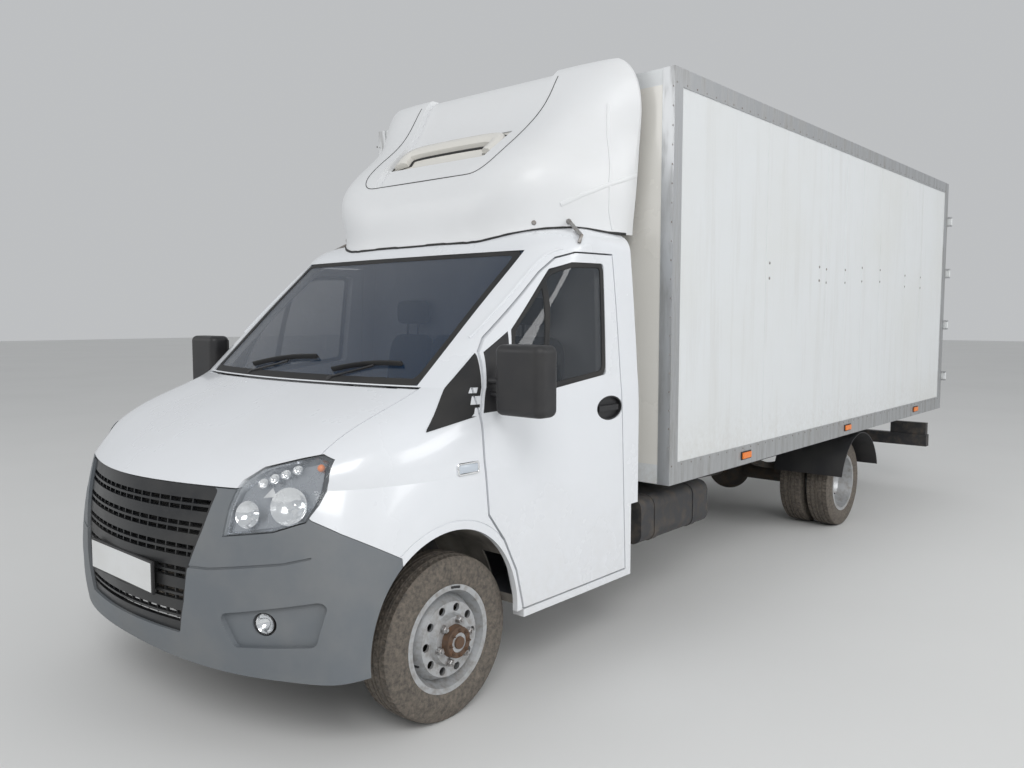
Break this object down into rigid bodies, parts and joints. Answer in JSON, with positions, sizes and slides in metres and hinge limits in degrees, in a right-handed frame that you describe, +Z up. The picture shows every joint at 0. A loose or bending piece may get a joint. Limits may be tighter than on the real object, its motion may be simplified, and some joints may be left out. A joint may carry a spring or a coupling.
{
  "type": "refrigerated truck",
  "caption": "Light refrigerated box truck with a bonneted cab, opening doors and bonnet, rear cargo doors, steering and free-rolling wheels.",
  "frame": {"origin": "on the ground under the middle of the whole length and width", "axes": "-Y forwards, +X to the truck's left side, +Z up"},
  "size_m": [2.644, 7.2397, 2.93],
  "materials": {
    "cab_paint": "gloss",
    "box_panel": "satin",
    "frame_paint": "satin",
    "aluminium": "satin",
    "glass": "gloss",
    "lamp": "gloss",
    "bumper_plastic": "matte",
    "black_plastic": "satin",
    "interior": "matte",
    "seat_cloth": "matte",
    "tyre": "matte",
    "wheel_steel": "satin",
    "cast": "matte",
    "steel": "satin"
  },
  "bodies": {
    "truck": {"chassis_frame": "frame_paint", "subframe": "frame_paint", "cab_floor": "interior", "cab_side_left": "cab_paint", "cab_side_right": "cab_paint", "cab_rear_wall": "cab_paint", "cab_roof": "cab_paint", "windscreen": "glass", "fenders": "cab_paint", "arch_liners": "black_plastic", "front_bumper": "bumper_plastic", "grille": "black_plastic", "headlamps": "lamp", "radiator": "aluminium", "engine": "cast", "dashboard": "interior", "seats": "seat_cloth", "roof_fairing": "cab_paint", "cooling_unit": "cab_paint", "box_floor": "box_panel", "box_side_left": "box_panel", "box_side_right": "box_panel", "box_front_wall": "box_panel", "box_roof": "box_panel", "box_trim": "aluminium", "box_portal": "aluminium", "fuel_tank": "frame_paint", "battery_box": "black_plastic", "exhaust": "steel", "propeller_shaft": "steel", "front_axle": "cast", "leaf_springs": "cast", "rear_axle": "cast", "rear_mudguards": "black_plastic", "rear_bumper": "frame_paint"},
    "hood": {"hood": "cab_paint"},
    "door_l": {"door_left": "cab_paint", "door_glass_left": "glass", "door_fittings_left": "black_plastic"},
    "door_r": {"door_right": "cab_paint", "door_glass_right": "glass", "door_fittings_right": "black_plastic"},
    "cargo_l": {"cargo_door_left": "box_panel"},
    "cargo_r": {"cargo_door_right": "box_panel"},
    "steering": {"steering_wheel": "black_plastic"},
    "rod": {"track_rod": "cast"},
    "hub_l": {"knuckle_left": "cast"},
    "hub_r": {"knuckle_right": "cast"},
    "wheel_fl": {"wheel_front_left": "wheel_steel", "tyre_front_left": "tyre"},
    "wheel_fr": {"wheel_front_right": "wheel_steel", "tyre_front_right": "tyre"},
    "wheel_rl": {"wheel_rear_left": "wheel_steel", "tyre_rear_left": "tyre"},
    "wheel_rr": {"wheel_rear_right": "wheel_steel", "tyre_rear_right": "tyre"}
  },
  "joints": [
    {"name": "hood_hinge", "type": "hinge", "parent": "truck", "child": "hood", "pos_m": [0, -2.7762, 1.322], "axis": [1, 0, 0], "range_deg": [-45, 0]},
    {"name": "door_left_hinge", "type": "hinge", "parent": "truck", "child": "door_l", "pos_m": [1.043, -2.6402, 1], "axis": [0, 0, 1], "range_deg": [-68, 0]},
    {"name": "door_right_hinge", "type": "hinge", "parent": "truck", "child": "door_r", "pos_m": [-1.043, -2.6402, 1], "axis": [0, 0, 1], "range_deg": [0, 68]},
    {"name": "cargo_left_hinge", "type": "hinge", "parent": "truck", "child": "cargo_l", "pos_m": [1.147, 3.6078, 1.8], "axis": [0, 0, 1], "range_deg": [-270, 0]},
    {"name": "cargo_right_hinge", "type": "hinge", "parent": "truck", "child": "cargo_r", "pos_m": [-1.147, 3.6078, 1.8], "axis": [0, 0, 1], "range_deg": [0, 270]},
    {"name": "steer_left", "type": "hinge", "parent": "truck", "child": "hub_l", "pos_m": [0.835, -2.7462, 0.338], "axis": [0, 0, 1], "range_deg": [-36, 36]},
    {"name": "steer_right", "type": "hinge", "parent": "truck", "child": "hub_r", "pos_m": [-0.835, -2.7462, 0.338], "axis": [0, 0, 1], "range_deg": [-36, 36]},
    {"name": "track_rod_slide", "type": "slide", "parent": "truck", "child": "rod", "axis": [1, 0, 0], "range_m": [-0.06962, 0.06962]},
    {"name": "steering_turn", "type": "hinge", "parent": "truck", "child": "steering", "pos_m": [0.43, -2.1862, 1.19], "axis": [0, 0.7433, 0.669], "range_deg": [-504.5, 504.5]},
    {"name": "wheel_front_left_spin", "type": "hinge", "parent": "hub_l", "child": "wheel_fl", "pos_m": [0.875, -2.7462, 0.338], "axis": [1, 0, 0], "continuous": true},
    {"name": "wheel_front_right_spin", "type": "hinge", "parent": "hub_r", "child": "wheel_fr", "pos_m": [-0.875, -2.7462, 0.338], "axis": [1, 0, 0], "continuous": true},
    {"name": "wheel_rear_left_spin", "type": "hinge", "parent": "truck", "child": "wheel_rl", "pos_m": [0.78, 1.5438, 0.338], "axis": [1, 0, 0], "continuous": true},
    {"name": "wheel_rear_right_spin", "type": "hinge", "parent": "truck", "child": "wheel_rr", "pos_m": [-0.78, 1.5438, 0.338], "axis": [1, 0, 0], "continuous": true}
  ],
  "couplings": [
    {"joint": "steer_right", "follows": "steer_left", "ratio": 1},
    {"joint": "track_rod_slide", "follows": "steer_left", "m_per_rad": -0.11},
    {"joint": "steering_turn", "follows": "steer_left", "ratio": -14}
  ]
}
